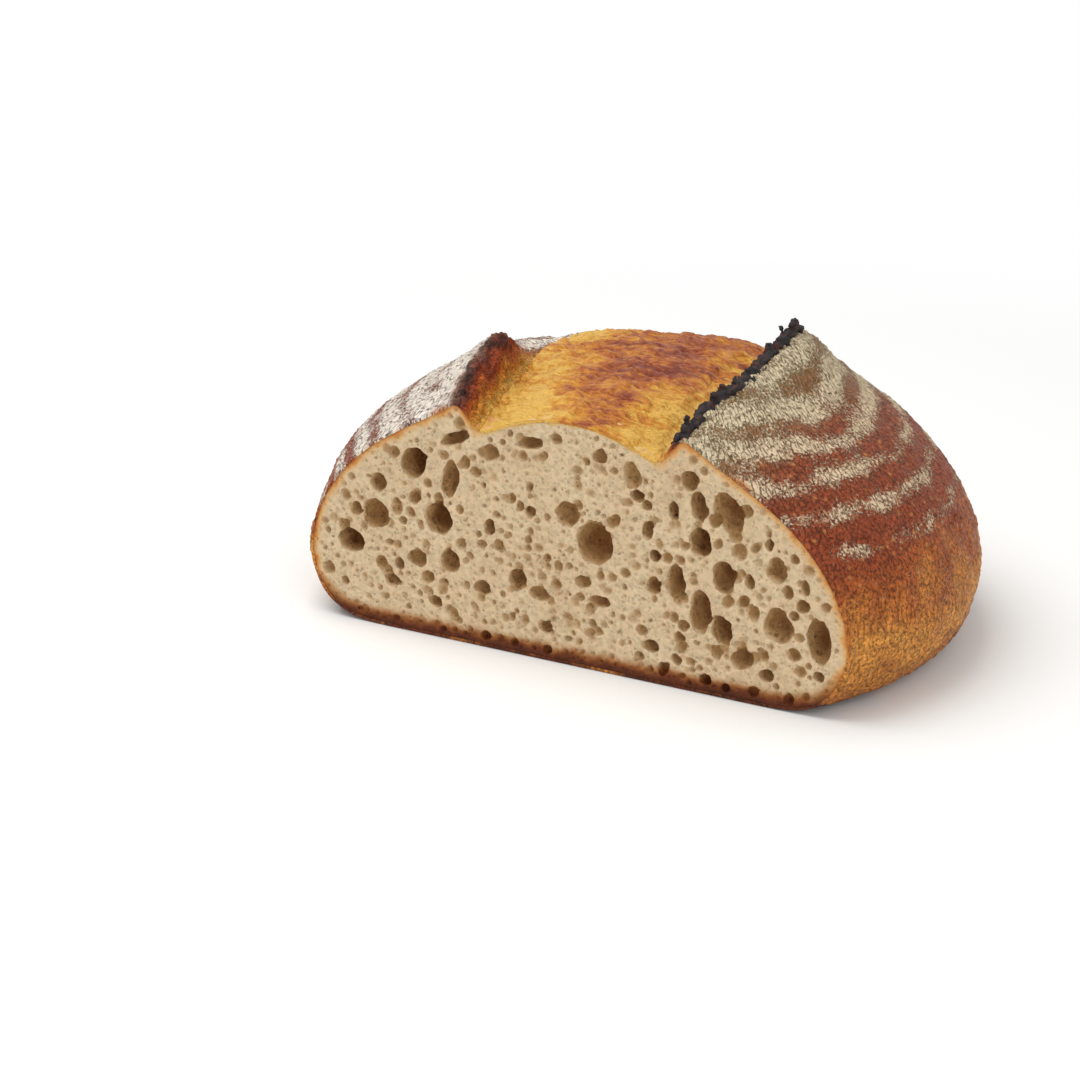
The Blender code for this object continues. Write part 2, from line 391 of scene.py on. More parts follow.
def arc_table():
    """Length of the skin from the crown down to each reach of the dome, and on to the foot."""
    reaches = np.linspace(0, 1, 400)
    ups = np.array([upper_level(reach) for reach in reaches])
    outs = reaches * (HALF_WIDTH + HALF_LENGTH) / 2
    steps = np.hypot(np.diff(outs), np.diff(ups))
    return reaches, np.concatenate([[0.0], np.cumsum(steps)])


ARC_REACH, ARC_LENGTH = arc_table()


def skin_places(co):
    """Distance round the loaf and distance down from the crown, for each vertex, as two columns."""
    across = co[:, 0] / HALF_WIDTH
    along = (co[:, 1] - MIDDLE_Y) / HALF_LENGTH
    reach = np.minimum(1.0, np.hypot(across, along))
    down = np.interp(reach, ARC_REACH, ARC_LENGTH)
    under = ARC_LENGTH[-1] + BELLY_HEIGHT - co[:, 2] + np.maximum(0, FOOT_SHARE - reach) * HALF_WIDTH
    down = np.where(co[:, 2] < BELLY_HEIGHT, under, down)
    round_the_loaf = np.arctan2(across, along) * 0.1
    return np.column_stack([round_the_loaf, down, np.zeros(len(co))])


def pocket_middles():
    """The middles of the torn pockets, just under the skin."""
    middles = []
    for back, out in TORN_POCKETS:
        reach = math.hypot(out / HALF_WIDTH, (back - CUT_TO_MIDDLE) / HALF_LENGTH)
        middles.append(Vector((-out, CUT_Y + back, upper_level(reach) - POCKET_UNDER)))
    return middles


def crust_lift(crust):
    """Relief of the baked skin: dents, lumps, blisters, torn streaks on the bloom, rough charred lips."""
    inward, bloom, gape, inner = (read(crust, name) for name in ("inward", "bloom", "gape", "inner"))
    pockets = pocket_middles()

    def lift(place, index):
        if inner[index] > 0.5:
            return 0.0
        on_bloom = bloom[index]
        on_lip = min(1.0, 4 * inward[index]) * gape[index]
        # The relief grows from the base up and from the cut back, so that both stay clean.
        base = min(1.0, max(0.0, place.z / 0.006))
        base *= min(1.0, 0.3 + (place.y - CUT_Y) / 0.005)
        soft = noise.noise(place / DENT_GRAIN) * DENT_HEIGHT
        lumps = noise.noise(place / LUMP_GRAIN) * LUMP_HEIGHT
        cell = noise.voronoi(place / BLISTER_GRAIN)[0]
        blister = max(0.0, 0.62 - cell[0]) * BLISTER_HEIGHT
        pits = min(0.0, noise.noise(place / PIT_GRAIN) + 0.25) * PIT_DEPTH
        streak_at = Vector([value / grain for value, grain in zip(place, STREAK_GRAIN)])
        streak = noise.ridged_multi_fractal(streak_at, 0.9, 2.2, 4, 1.0, 2.0) - 1.0
        flake = noise.turbulence(place / FLAKE_GRAIN, 3, False) - 0.5
        torn = (streak * STREAK_HEIGHT + flake * FLAKE_HEIGHT) * base
        char = (noise.turbulence(place / CHAR_GRAIN, 3, True) - 0.5) * CHAR_HEIGHT * base
        for pocket in pockets:
            away = (place - pocket).length / POCKET_RADIUS
            torn -= POCKET_DEPTH * max(0.0, 1 - away * away)
        outside = (1 - on_bloom) * (1 - on_lip) * base
        return soft * base + lumps * base + (blister + pits) * outside + torn * on_bloom + char * on_lip

    return lift


def is_across(ends):
    """Whether an edge on the cut face runs from the rim's inner ring to its outer one."""
    return abs((ends[0].co - ends[1].co).length - RIM) < 0.3 * RIM


def make_crust():
    """The whole skin, lofted from the pocket behind the cut out to the rim and back to the loaf's far end."""
    turns = np.linspace(-math.asin(CUT_TO_MIDDLE / HALF_LENGTH), math.asin(BACK_LIMIT), SECTIONS)
    backs = [CUT_TO_MIDDLE + HALF_LENGTH * math.sin(turn) for turn in turns]
    rings = [ring_at(TRAY_DEPTH, TRAY_INSET, (NO_EAR, NO_EAR)), ring_at(0.005, 2.0 * RIM)]
    rings += [ring_at(0.0, RIM), ring_at(0.0), ring_at(0.0015)]
    rings += [ring_at(back) for back in backs[1:]]
    tip = rings[-1].copy()
    tip[:, :3] = (0.0, CUT_Y + PART_LENGTH, BELLY_HEIGHT)
    rings.append(tip)
    crust = rolled_sheet("loaf_crust", rings)

    crease = crust.data.attributes.new("crease_edge", "FLOAT", "EDGE")
    for edge in crust.data.edges:
        ends = [crust.data.vertices[i] for i in edge.vertices]
        on_cut = all(abs(end.co.y - CUT_Y) < 1e-6 for end in ends)
        crease.data[edge.index].value = 1.0 if on_cut and not is_across(ends) else 0.0
    bpy.ops.object.mode_set(mode="EDIT")
    bpy.ops.mesh.select_non_manifold()
    bpy.ops.mesh.edge_face_add()
    bpy.ops.mesh.select_all(action="SELECT")
    bpy.ops.mesh.normals_make_consistent(inside=False)
    bpy.ops.mesh.select_all(action="DESELECT")
    bpy.ops.object.mode_set(mode="OBJECT")
    apply(crust, "SUBSURF", levels=3, render_levels=3)

    co = places(crust)
    front = np.abs(co[:, 1] - CUT_Y) < 1e-5
    sculpt(crust, crust_lift(crust))
    moved = places(crust)
    moved[front, 1] = CUT_Y
    moved[:, 1] = np.maximum(moved[:, 1], CUT_Y)
    moved[:, 2] = np.maximum(moved[:, 2], 0.0)
    put(crust, moved)
    mark(crust, "skin", skin_places(moved))
    crust.data.shade_smooth()
    return crust


# --- Crumb ---


def unit_ball(subdivisions):
    """Vertices and faces of a ball of radius 1."""
    bpy.ops.mesh.primitive_ico_sphere_add(subdivisions=subdivisions, radius=1)
    ball = bpy.context.object
    co = places(ball)
    faces = np.array([polygon.vertices[:] for polygon in ball.data.polygons])
    bpy.data.objects.remove(ball)
    return co, faces


def inside_by(outline, x, z):
    """How far a point of the cut face lies inside the outline; negative outside."""
    ax, az = outline[:, 0], outline[:, 1]
    bx, bz = np.roll(ax, -1), np.roll(az, -1)
    share = np.clip(((x - ax) * (bx - ax) + (z - az) * (bz - az)) / ((bx - ax) ** 2 + (bz - az) ** 2), 0, 1)
    away = np.hypot(ax + share * (bx - ax) - x, az + share * (bz - az) - z).min()
    crosses = (az > z) != (bz > z)
    hits = crosses & (x < (bx - ax) * (z - az) / np.where(bz == az, 1e-9, bz - az) + ax)
    return away if hits.sum() % 2 else -away


def bubble_rows():
    """Every bubble as (middle, half sizes, lean): the large ones, their inner pores, and the small ones."""
    rows = []
    draw = random.Random(7)
    for across, up, half_across, half_up, depth, lean in BUBBLES:
        middle = Vector((across * MM, CUT_Y + depth * 0.1 * MM, up * MM))
        size = Vector((half_across * MM, depth * 0.95 * MM, half_up * MM))
        turn = math.radians(lean)
        rows.append((middle, size, turn))
        for _ in range(round(half_across * half_up / 5)):
            way = draw.uniform(0, math.tau)
            dive = draw.uniform(0.15, 0.75)
            wide = math.sqrt(1 - dive * dive) * 0.97
            pore = Vector((math.cos(way) * wide * size.x, dive * size.y, math.sin(way) * wide * size.z))
            pore.rotate(Euler((0, turn, 0)))
            radius = draw.uniform(*PORE_RADII)
            rows.append((middle + pore, Vector((radius, radius * 0.8, radius)), 0.0))
    outline = section(0.0)
    taken = np.zeros((len(rows) + SMALL_TRIES, 3))
    taken[: len(rows)] = [(middle.x, middle.z, max(size.x, size.z)) for middle, size, _ in rows]
    for _ in range(SMALL_TRIES):
        x = draw.uniform(-0.115, 0.115)
        z = draw.uniform(0.002, 0.092)
        dense = math.exp(-((x - DENSE_MIDDLE) / DENSE_WIDTH) ** 2)
        if draw.random() > 0.4 + 0.6 * dense:
            continue
        radius = (SMALL_RADIUS + SMALL_SPREAD * draw.random() ** SMALL_RARENESS) * (1.2 - 0.3 * dense)
        others = taken[: len(rows)]
        gaps = np.hypot(others[:, 0] - x, others[:, 1] - z) - others[:, 2] - radius
        if gaps.min() < WALL and draw.random() > BREACHES:
            continue
        if inside_by(outline, x, z) < radius + RIM_FLESH:
            continue
        tall = draw.uniform(0.8, 1.35)
        middle = Vector((x, CUT_Y + draw.uniform(-0.35, 0.45) * radius, z))
        size = Vector((radius / math.sqrt(tall), radius * draw.uniform(0.9, 1.5), radius * math.sqrt(tall)))
        taken[len(rows)] = (x, z, radius)
        rows.append((middle, size, draw.uniform(-0.6, 0.6)))
    return rows


def apart_batches(rows):
    """The bubbles' numbers in batches whose members don't touch each other."""
    middles = np.array([row[0] for row in rows])
    reaches = np.array([max(row[1]) for row in rows]) * 1.28
    batches = []
    for number in range(len(rows)):
        for batch in batches:
            gaps = np.linalg.norm(middles[batch] - middles[number], axis=1) - reaches[batch] - reaches[number]
            if gaps.min() > 0:
                batch.append(number)
                break
        else:
            batches.append([number])
    return batches


def bubble_cutter(rows, batch, kinds):
    """One batch of bubbles as uneven balls in one mesh."""
    co_parts = []
    face_parts = []
    count = 0
    for number in batch:
        middle, size, turn = rows[number]
        ball_co, ball_faces = kinds[3 if max(size) > BIG_BUBBLE else 2]
        seed = Vector((number * 3.7, number * 1.3, 0))
        lumps = np.array([1 + UNEVENNESS * noise.noise(Vector(place) * 1.7 + seed) for place in ball_co])
        co = ball_co * lumps[:, None] * np.array(size)
        turned = co.copy()
        turned[:, 0] = co[:, 0] * math.cos(turn) + co[:, 2] * math.sin(turn)
        turned[:, 2] = co[:, 2] * math.cos(turn) - co[:, 0] * math.sin(turn)
        co_parts.append(turned + np.array(middle))
        face_parts.append(ball_faces + count)
        count += len(co)
    mesh = bpy.data.meshes.new("bubbles")
    mesh.from_pydata(np.vstack(co_parts).tolist(), [], np.vstack(face_parts).tolist())
    cutter = bpy.data.objects.new("bubbles", mesh)
    bpy.context.scene.collection.objects.link(cutter)
    return cutter


def slice_off(piece, y, side):
    """Cut a piece flat across Y and close the cut; side 1 clears what lies beyond, -1 what lies before."""
    pick(piece)
    bpy.ops.object.mode_set(mode="EDIT")
    bpy.ops.mesh.select_all(action="SELECT")
    bpy.ops.mesh.bisect(
        plane_co=(0, y, 0), plane_no=(0, side, 0), use_fill=True, clear_outer=True, threshold=0.000001
    )
    bpy.ops.mesh.select_all(action="DESELECT")
    bpy.ops.object.mode_set(mode="OBJECT")


def roughen(piece, name, grain, strength):
    """Push the surface in and out by a soft cloud pattern of one grain."""
    texture = bpy.data.textures.new(name, "CLOUDS")
    texture.noise_scale = grain
    texture.noise_depth = 1
    apply(piece, "DISPLACE", texture=texture, texture_coords="LOCAL", strength=strength, mid_level=0.5)
    bpy.data.textures.remove(texture)


def make_crumb():
    """The crumb: a flat-cut block that fills the skin's pocket, with every bubble cut out of it."""
    # The block draws back from the skin behind the cut, so that no dent of the crust shows it.
    steps = ((-0.007, 0.1), (0.0, 0.1), (0.002, 0.9), (0.007, 1.8), (0.014, 2.4), (0.021, 2.4))
    crumb = rolled_sheet("loaf_crumb", [ring_at(back, RIM * share) for back, share in steps])
    for name in SKIN_MARKS:
        crumb.data.attributes.remove(crumb.data.attributes[name])
    apply(crumb, "SUBSURF", levels=2, render_levels=2)
    slice_off(crumb, CUT_Y + 0.0002, -1)
    slice_off(crumb, CUT_Y + CRUMB_DEPTH, 1)
    pick(crumb)
    bpy.ops.object.mode_set(mode="EDIT")
    bpy.ops.mesh.select_all(action="SELECT")
    bpy.ops.mesh.quads_convert_to_tris()
    bpy.ops.mesh.normals_make_consistent(inside=False)
    bpy.ops.object.mode_set(mode="OBJECT")
    rows = bubble_rows()
    kinds = {subdivisions: unit_ball(subdivisions) for subdivisions in (2, 3)}
    for batch in apart_batches(rows):
        cutter = bubble_cutter(rows, batch, kinds)
        apply(crumb, "BOOLEAN", operation="DIFFERENCE", object=cutter, solver="MANIFOLD")
        bpy.data.objects.remove(cutter)
    apply(crumb, "REMESH", mode="VOXEL", voxel_size=CRUMB_VOXEL, adaptivity=0.0)
    roughen(crumb, "crumb_pull", 0.0060, 0.0004)
    roughen(crumb, "crumb_grain", 0.0014, 0.0003)
    slice_off(crumb, CUT_Y + CRUMB_DEPTH - 0.001, 1)
    triangles = sum(len(polygon.vertices) - 2 for polygon in crumb.data.polygons)
    apply(crumb, "DECIMATE", ratio=min(1.0, CRUMB_TRIANGLES / triangles))
    crumb.data.shade_smooth()
    return crumb


def mark_rim(crumb):
    """Keep each vertex's distance from the loaf's outer skin."""
    outline = section(0.0)[:, :2]
    step = np.roll(outline, -1, axis=0) - outline
    dense = np.vstack([outline + step * share for share in np.arange(0, 1, 0.1)])
    co = places(crumb)
    rim = np.empty(len(co))
    for start in range(0, len(co), 5000):
        part = co[start : start + 5000]
        dx = part[:, None, 0] - dense[None, :, 0]
        dz = part[:, None, 2] - dense[None, :, 1]
        rim[start : start + 5000] = np.sqrt((dx * dx + dz * dz).min(axis=1))
    mark(crumb, "rim", rim)


# --- Charred crest ---


def lip_place(back):
    """The top edge of the right ear's lip."""
    out = eased(RIGHT_EAR, back, 1)
    reach = min(1.0, math.hypot(out / HALF_WIDTH, (back - CUT_TO_MIDDLE) / HALF_LENGTH))
    return Vector((out, CUT_Y + back, upper_level(reach) + eased(RIGHT_EAR, back, 2)))


def char_ball(edge, share, level, half_sizes, draw):
    """One ball of char on the ear, share of the lip's thickness in from its edge."""
    bpy.ops.mesh.primitive_ico_sphere_add(subdivisions=2, radius=1)
    ball = bpy.context.object
    wide, tall = half_sizes
    ball.scale = (wide, wide * draw.uniform(0.8, 1.3), tall)
    ball.rotation_euler = (draw.uniform(-0.45, 0.45), draw.uniform(-0.6, 0.2), draw.uniform(0, 3))
    ball.location = edge + Vector((-LIP_THICKNESS * share, draw.uniform(-0.0008, 0.0008), level))
    return ball


def char_balls(draw):
    """Loose balls of char along the ear: a low ragged band, and teeth that stand on it in clusters."""
    balls = []
    back = CREST_START
    while back < CREST_END:
        edge = lip_place(back)
        for share, level in BAND_ROWS:
            wide = BALL_WIDTH * draw.uniform(0.5, 1.3)
            tall = BALL_WIDTH * draw.uniform(0.5, 1.2)
            balls.append(char_ball(edge, share, level, (wide, tall), draw))
        cluster = noise.noise(Vector((back / CLUSTER_LENGTH, 4.0, 0.0)))
        if cluster > -0.1 or back < CREST_START + 0.005:
            tall = TOOTH_HEIGHT * draw.uniform(0.35, 1.0)
            share = draw.uniform(0.32, 0.58)
            wide = BALL_WIDTH * draw.uniform(0.4, 0.75)
            balls.append(char_ball(edge, share, tall * 0.9, (wide, tall), draw))
        back += CREST_PACE * draw.uniform(0.5, 1.5)
    return balls


def make_crest():
    """The ear's burnt edge: uneven crumbs of char, melted into one ragged band with teeth."""
    pick(*char_balls(random.Random(CREST_SEED)))
    bpy.ops.object.transform_apply(location=True, rotation=True, scale=True)
    bpy.ops.object.join()
    crest = bpy.context.object
    crest.name = "burnt_crest"
    crest.data.name = "burnt_crest"
    apply(crest, "REMESH", mode="VOXEL", voxel_size=CREST_VOXEL, adaptivity=0.0)
    roughen(crest, "char_crags", 0.0022, 0.0022)
    roughen(crest, "char_crumbs", 0.0009, 0.0010)
    co = places(crest)
    co[:, 1] = np.maximum(co[:, 1], CUT_Y)
    put(crest, co)
    crest.data.shade_smooth()
    return crest


# --- Materials ---


def shade(hex_colour):
    """An sRGB hex colour as linear red, green, blue and alpha."""
    channels = [int(hex_colour[i : i + 2], 16) / 255 for i in (1, 3, 5)]
    return (*[c / 12.92 if c <= 0.04045 else ((c + 0.055) / 1.055) ** 2.4 for c in channels], 1.0)


def add(tree, kind, inputs=None, stops=None, **settings):
    """Add a node with its settings, its input values or links, and a ramp's stops."""
    made = tree.nodes.new("ShaderNode" + kind)
    for name, value in settings.items():
        setattr(made, name, value)
    for socket, value in (inputs or {}).items():
        if isinstance(value, bpy.types.NodeSocket):
            tree.links.new(value, made.inputs[socket])
        else:
            made.inputs[socket].default_value = value
    if stops:
        ramp = made.color_ramp
        while len(ramp.elements) < len(stops):
            ramp.elements.new(1.0)
        for element, (place, colour) in zip(ramp.elements, stops):
            element.position = place
            element.color = shade(colour) if isinstance(colour, str) else (colour, colour, colour, 1)
    return made


def new_material(name, roughness, specular):
    """A plain material, with its node tree and its shader."""
    material = bpy.data.materials.new(name)
    material.use_nodes = True
    shader = material.node_tree.nodes["Principled BSDF"]
    shader.inputs["Roughness"].default_value = roughness
    shader.inputs["IOR"].default_value = 1.45
    shader.inputs["Specular IOR Level"].default_value = specular
    return material, material.node_tree, shader


def baked_tone(tree, place, height, grain):
    """Bare crust: golden at the foot and red-brown above, stained by the oven, with light blisters."""
    # Height tones, moved up and down by soft clouds 20 mm wide.
    clouds = add(tree, "TexNoise", {"Vector": place, "Scale": 50.0, "Detail": 3.0}).outputs["Fac"]
    sway = add(tree, "MapRange", {0: clouds, 1: 0.3, 2: 0.7, 3: -0.010, 4: 0.010}).outputs[0]
    level = add(tree, "Math", {0: height, 1: sway}, operation="ADD").outputs[0]
    level = add(tree, "MapRange", {0: level, 1: 0.0, 2: 0.1}).outputs[0]
    tone = add(tree, "ValToRGB", {0: level}, stops=[
        (0.0, "#5c2d14"), (0.06, "#a8642a"), (0.22, "#d28e3e"),
        (0.42, "#9f5120"), (0.55, "#86391a"), (0.8, "#7e3b20"),
    ]).outputs[0]
    light = add(tree, "MapRange", {0: grain, 1: 0.36, 2: 0.66, 3: 0.52, 4: 1.55}).outputs[0]
    stains = add(tree, "TexNoise", {
        "Vector": place, "Scale": 190.0, "Detail": 4.0, "Roughness": 0.7,
    }).outputs["Fac"]
    stains = add(tree, "MapRange", {0: stains, 1: 0.35, 2: 0.65, 3: 0.78, 4: 1.2}).outputs[0]
    for part in (light, stains):
        tone = add(tree, "Mix", {
            0: 1.0, 6: tone, 7: part,
        }, data_type="RGBA", blend_type="MULTIPLY").outputs[2]
    # Sparse blisters 1.5 mm wide, baked light orange on top.
    spots = add(tree, "TexVoronoi", {"Vector": place, "Scale": 240.0}).outputs["Distance"]
    spots = add(tree, "MapRange", {0: spots, 1: 0.10, 2: 0.26, 3: 0.6, 4: 0.0}).outputs[0]
    return add(tree, "Mix", {0: spots, 6: tone, 7: shade("#cf8a4c")}, data_type="RGBA").outputs[2]


def flour_rings(tree, place, height, down, ear, left, breaks):
    """How thick flour lies: rings one basket coil apart, thinned by clouds and towards the foot."""
    drift = add(tree, "TexNoise", {"Vector": place, "Scale": 28.0, "Detail": 2.0}).outputs["Fac"]
    wobble = add(tree, "MapRange", {0: drift, 1: 0.2, 2: 0.8, 3: -0.004, 4: 0.004}).outputs[0]
    coil = add(tree, "Math", {0: down, 1: wobble}, operation="ADD").outputs[0]
    turn = add(tree, "MapRange", {
        0: coil, 1: RING_FIRST, 2: RING_FIRST + RING_PITCH, 3: 0.0, 4: math.tau,
    }, clamp=False).outputs[0]
    wave = add(tree, "Math", {0: turn}, operation="COSINE").outputs[0]
    fade = add(tree, "MapRange", {0: down, 1: 0.105, 2: 0.142, 3: -0.1, 4: -2.0}).outputs[0]
    foot = add(tree, "MapRange", {0: height, 1: 0.004, 2: 0.022, 3: -3.0, 4: 0.0}).outputs[0]
    dust = add(tree, "TexNoise", {"Vector": place, "Scale": 1100.0, "Detail": 2.0}).outputs["Fac"]
    dust = add(tree, "MapRange", {0: dust, 1: 0.3, 2: 0.7, 3: -1.1, 4: 1.1}).outputs[0]
    rings = wave
    # Each adds to the flour by its weight.
    for part, weight in ((breaks, 1.1), (fade, 1.0), (left, 1.1), (ear, 1.5), (foot, 1.0), (dust, 1.0)):
        rings = add(tree, "Math", {0: part, 1: weight, 2: rings}, operation="MULTIPLY_ADD").outputs[0]
    return add(tree, "MapRange", {0: rings, 1: -0.2, 2: 1.3}, interpolation_type="SMOOTHSTEP").outputs[0]


def flour_cracks(tree, place, lay, grain):
    """Cracks in dried flour, 2 mm apart round the loaf and 4 mm down it: low in a crack, 1 beside it."""
    bent = add(tree, "TexNoise", {"Vector": place, "Scale": 260.0, "Detail": 2.0}).outputs["Color"]
    bent = add(tree, "VectorMath", {0: bent, 1: (0.0016, 0.0016, 0.0)}, operation="MULTIPLY").outputs[0]
    bent = add(tree, "VectorMath", {0: lay, 1: bent}, operation="ADD").outputs[0]
    bent = add(tree, "VectorMath", {0: bent, 1: (480.0, 240.0, 0.0)}, operation="MULTIPLY").outputs[0]
    edges = add(tree, "TexVoronoi", {
        "Vector": bent, "Scale": 1.0,
    }, feature="DISTANCE_TO_EDGE", voronoi_dimensions="2D").outputs["Distance"]
    deep = add(tree, "MapRange", {0: grain, 1: 0.40, 2: 0.62, 3: 0.15, 4: 1.0}).outputs[0]
    return add(tree, "MapRange", {0: edges, 1: 0.02, 2: 0.13, 3: deep, 4: 1.0}).outputs[0]


def flour_white(tree, left, olive, grain):
    """The flour's own colour: whitest on the left, sooty on the right ear."""
    pale = add(tree, "Mix", {0: left, 6: shade("#f3e0bb"), 7: shade("#f8f0e2")}, data_type="RGBA").outputs[2]
    white = add(tree, "Mix", {0: olive, 6: pale, 7: shade("#f4e6c2")}, data_type="RGBA").outputs[2]
    sooty = add(tree, "MapRange", {0: grain, 1: 0.38, 2: 0.56, 3: 0.6, 4: 1.0}).outputs[0]
    sooty = add(tree, "Mix", {0: olive, 2: 1.0, 3: sooty}).outputs[0]
    return add(tree, "Mix", {0: 1.0, 6: white, 7: sooty}, data_type="RGBA", blend_type="MULTIPLY").outputs[2]


def lip_colour(tree, place, ragged):
    """An ear's lip: brown at the edge, dark red, then orange down in the groove, with burnt patches."""
    lip = add(tree, "ValToRGB", {0: ragged}, stops=[
        (0.12, "#a3826f"), (0.3, "#83604f"), (0.46, "#75382a"),
        (0.6, "#a94d24"), (0.76, "#cf822f"), (0.95, "#dfa94c"),
    ]).outputs[0]
    burnt = add(tree, "TexNoise", {
        "Vector": place, "Scale": 95.0, "Detail": 4.0, "Roughness": 0.6,
    }).outputs["Fac"]
    burnt = add(tree, "MapRange", {0: burnt, 1: 0.46, 2: 0.58, 3: 0.0, 4: 0.85}).outputs[0]
    outer = add(tree, "MapRange", {0: ragged, 1: 0.62, 2: 0.45}).outputs[0]
    burnt = add(tree, "Math", {0: burnt, 1: outer}, operation="MULTIPLY").outputs[0]
    return add(tree, "Mix", {0: burnt, 6: lip, 7: shade("#241b1a")}, data_type="RGBA").outputs[2]


def baked_crust():
    """Lean wheat crust, steam baked on stone: red-brown and blistered, golden low down, dusted in rings."""
    material, tree, shader = new_material("baked_crust", 0.6, 0.25)
    place = add(tree, "TexCoord").outputs["Object"]
    axes = add(tree, "SeparateXYZ", {0: place})
    lay = add(tree, "Attribute", attribute_name="skin").outputs["Vector"]
    down = add(tree, "SeparateXYZ", {0: lay}).outputs["Y"]
    ear, inward, gape = [
        add(tree, "Attribute", attribute_name=name).outputs["Fac"] for name in ("ear", "inward", "gape")
    ]
    left = add(tree, "MapRange", {0: axes.outputs["X"], 1: -0.02, 2: -0.045, 3: 0.0, 4: 1.0}).outputs[0]
    right = add(tree, "MapRange", {0: axes.outputs["X"], 1: 0.0, 2: 0.02}).outputs[0]
    # Fine grain 1.2 mm wide, and clouds 13 mm wide that break rings and edges.
    grain = add(tree, "TexNoise", {
        "Vector": place, "Scale": 850.0, "Detail": 3.0, "Roughness": 0.65,
    }).outputs["Fac"]
    breaks = add(tree, "TexNoise", {
        "Vector": place, "Scale": 75.0, "Detail": 4.0, "Roughness": 0.6,
    }).outputs["Fac"]
    breaks = add(tree, "MapRange", {0: breaks, 1: 0.3, 2: 0.7, 3: -1.0, 4: 1.0}).outputs[0]

    tone = baked_tone(tree, place, axes.outputs["Z"], grain)
    flour = flour_rings(tree, place, axes.outputs["Z"], down, ear, left, breaks)
    cracks = flour_cracks(tree, place, lay, grain)
    cover = add(tree, "MapRange", {0: left, 3: 0.74, 4: 0.92}).outputs[0]
    flour = add(tree, "Math", {0: flour, 1: cracks}, operation="MULTIPLY").outputs[0]
    flour = add(tree, "Math", {0: flour, 1: cover}, operation="MULTIPLY").outputs[0]
    # The right ear's thin edge dried out and turned olive brown under its flour.
    thin = add(tree, "MapRange", {0: ear, 1: 0.35, 2: 0.9}).outputs[0]
    olive = add(tree, "Math", {0: thin, 1: right}, operation="MULTIPLY").outputs[0]
    scorch = add(tree, "Mix", {0: olive, 6: tone, 7: shade("#84643e")}, data_type="RGBA").outputs[2]
    white = flour_white(tree, left, olive, grain)
    colour = add(tree, "Mix", {0: flour, 6: scorch, 7: white}, data_type="RGBA").outputs[2]

    # The knife's edge shows the skin's bright orange side in places.
    cut_end = CUT_Y + 0.0016
    near_cut = add(tree, "MapRange", {0: axes.outputs["Y"], 1: CUT_Y, 2: cut_end, 3: 1.0, 4: 0.0}).outputs[0]
    near_cut = add(tree, "Math", {0: near_cut, 1: breaks, 2: 0.05}, operation="MULTIPLY_ADD").outputs[0]
    low = add(tree, "MapRange", {0: axes.outputs["Z"], 1: 0.004, 2: 0.02}).outputs[0]
    edge = add(tree, "Mix", {0: low, 6: shade("#6b3016"), 7: shade("#c1712f")}, data_type="RGBA").outputs[2]
    colour = add(tree, "Mix", {0: near_cut, 6: colour, 7: edge}, data_type="RGBA").outputs[2]

    # The right ear keeps flour on its outer edge, so its char starts further in.
    ragged = add(tree, "Math", {0: breaks, 1: 0.12, 2: inward}, operation="MULTIPLY_ADD").outputs[0]
    start = add(tree, "Math", {0: right, 1: -0.26, 2: ragged}, operation="MULTIPLY_ADD").outputs[0]
    on_lip = add(tree, "MapRange", {0: start, 1: 0.06, 2: 0.2}).outputs[0]
    gape = add(tree, "MapRange", {0: gape, 1: 0.25, 2: 0.8}).outputs[0]
    on_lip = add(tree, "Math", {0: on_lip, 1: gape}, operation="MULTIPLY").outputs[0]
    lip = lip_colour(tree, place, ragged)
    colour = add(tree, "Mix", {0: on_lip, 6: colour, 7: lip}, data_type="RGBA").outputs[2]
    tree.links.new(colour, shader.inputs["Base Color"])

    # Flour is matt. Blisters 1.3 mm wide, the grain, the flour's own thickness and its cracks give relief.
    matt = add(tree, "MapRange", {0: flour, 3: 0.5, 4: 0.95}).outputs[0]
    tree.links.new(matt, shader.inputs["Roughness"])
    cells = add(tree, "TexVoronoi", {"Vector": place, "Scale": 760.0}, feature="SMOOTH_F1").outputs[0]
    height = add(tree, "Mix", {0: 0.45, 2: cells, 3: grain}).outputs[0]
    height = add(tree, "Math", {0: flour, 1: 0.4, 2: height}, operation="MULTIPLY_ADD").outputs[0]
    height = add(tree, "Math", {0: cracks, 1: 0.35, 2: height}, operation="MULTIPLY_ADD").outputs[0]
    bump = add(tree, "Bump", {"Strength": 1.0, "Distance": 0.0020, "Height": height})
    tree.links.new(bump.outputs[0], shader.inputs["Normal"])
    return material


